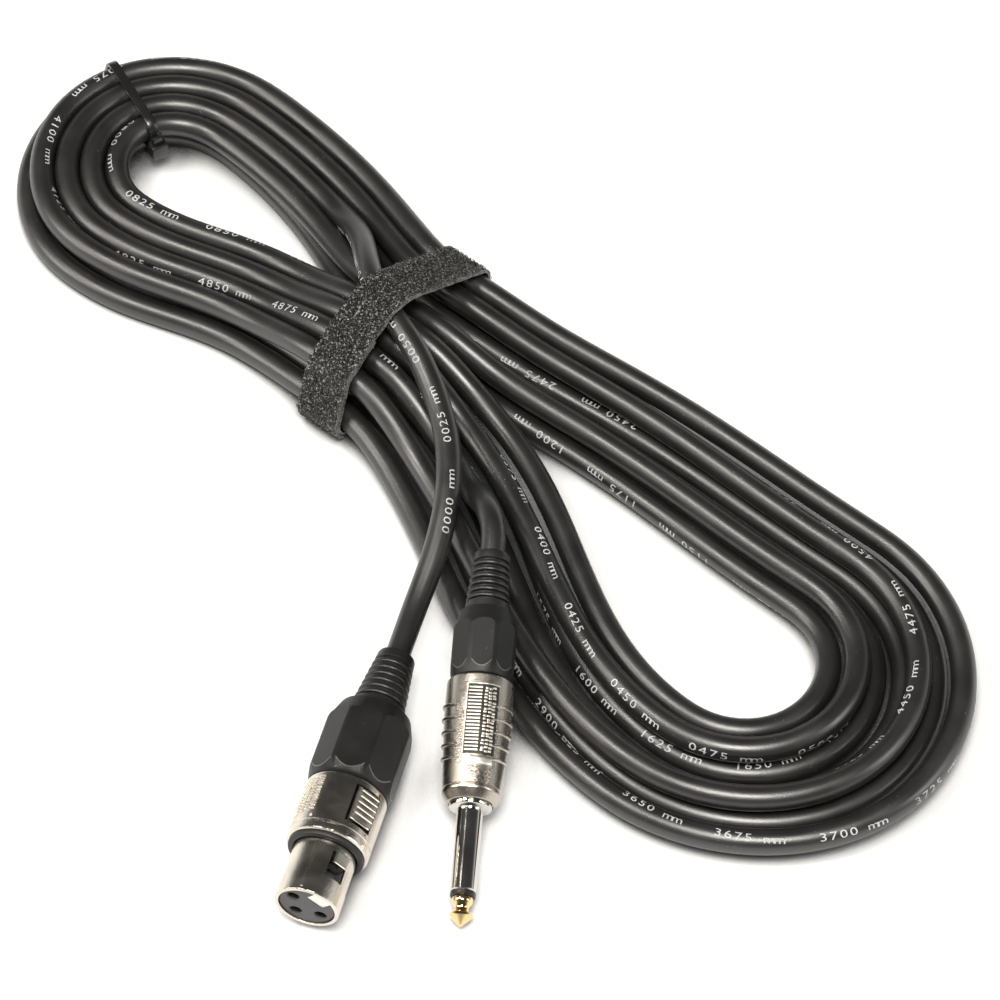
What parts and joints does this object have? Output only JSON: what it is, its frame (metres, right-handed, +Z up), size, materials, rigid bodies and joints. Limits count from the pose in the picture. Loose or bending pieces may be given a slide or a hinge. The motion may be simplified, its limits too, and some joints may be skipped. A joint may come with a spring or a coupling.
{
  "type": "microphone cable hank",
  "caption": "Microphone cable wound in a flat pinched hank under a hook-and-loop strap, with a latching three-pole socket connector at one end and a mono phone plug at the other.",
  "frame": {"origin": "middle of the strap's underside, on the surface that the hank lies on", "axes": "+X along the hank towards its long lobe, +Y to the side away from the connectors, +Z up"},
  "size_m": [0.3167, 0.1958, 0.0326],
  "materials": {
    "jacket": "satin charcoal PVC jacket",
    "strap": "hook-and-loop pile",
    "nylon": "moulded nylon",
    "nickel": "nickel-plated die casting",
    "insert": "moulded grey plastic",
    "contact": "plated brass",
    "latch": "plated steel",
    "spring": "spring steel",
    "ring": "black elastomer",
    "chuck": "natural acetal",
    "gland": "black moulded nylon",
    "boot": "black elastomer",
    "core_red": "insulated core",
    "core_white": "insulated core",
    "screen": "bare copper screen",
    "plug_steel": "polished nickel",
    "liner": "black insulator",
    "gold": "gold-plated brass",
    "washer": "fibre washer"
  },
  "bodies": {
    "cable": {"cable_hank": "jacket", "socket_lead": "jacket", "plug_lead": "jacket", "strap": "strap", "cable_tie": "nylon", "socket_shell": "nickel", "socket_insert": "insert", "socket_contact_1": "contact", "socket_contact_2": "contact", "socket_contact_3": "contact", "socket_latch_pin": "spring", "socket_latch_spring": "spring", "socket_ring": "ring", "socket_chuck": "chuck", "socket_core_red": "core_red", "socket_core_white": "core_white", "socket_screen": "screen", "plug_barrel": "nickel", "plug_sleeve": "plug_steel", "plug_liner": "liner", "plug_tip": "gold", "plug_ground_lug": "latch", "plug_washer": "washer", "plug_tip_lug": "contact", "plug_chuck": "chuck", "plug_core": "core_red", "plug_screen": "screen"},
    "latch": {"socket_latch": "latch"},
    "socket_boot": {"socket_boot": "boot"},
    "socket_gland": {"socket_gland": "gland"},
    "plug_boot": {"plug_boot": "boot"},
    "plug_gland": {"plug_gland": "gland"}
  },
  "joints": [
    {"name": "latch_press", "type": "hinge", "parent": "cable", "child": "latch", "pos_m": [0.08782, -0.115, 0.01447], "axis": [0.6741, 0.3129, -0.669], "range_deg": [0, 3], "stiffness_Nm_per_rad": 0.02, "springref_deg": -1.15},
    {"name": "socket_boot_slide", "type": "slide", "parent": "cable", "child": "socket_boot", "axis": [-0.4067, 0.9134, 0.0175], "range_m": [0, 0.006]},
    {"name": "socket_gland_turn", "type": "hinge", "parent": "socket_boot", "child": "socket_gland", "pos_m": [0.07482, -0.09444, 0.01099], "axis": [-0.4067, 0.9134, 0.0175], "range_deg": [0, 1440]},
    {"name": "plug_boot_slide", "type": "slide", "parent": "cable", "child": "plug_boot", "axis": [-0.5688, 0.7975, 0.2011], "range_m": [0, 0.006]},
    {"name": "plug_gland_turn", "type": "hinge", "parent": "plug_boot", "child": "plug_gland", "pos_m": [0.0797, -0.05796, 0.01918], "axis": [-0.5688, 0.7975, 0.2011], "range_deg": [0, 1440]}
  ],
  "couplings": [
    {"joint": "socket_gland_turn", "follows": "socket_boot_slide", "rad_per_m": 4188.8},
    {"joint": "plug_gland_turn", "follows": "plug_boot_slide", "rad_per_m": 4188.8}
  ]
}
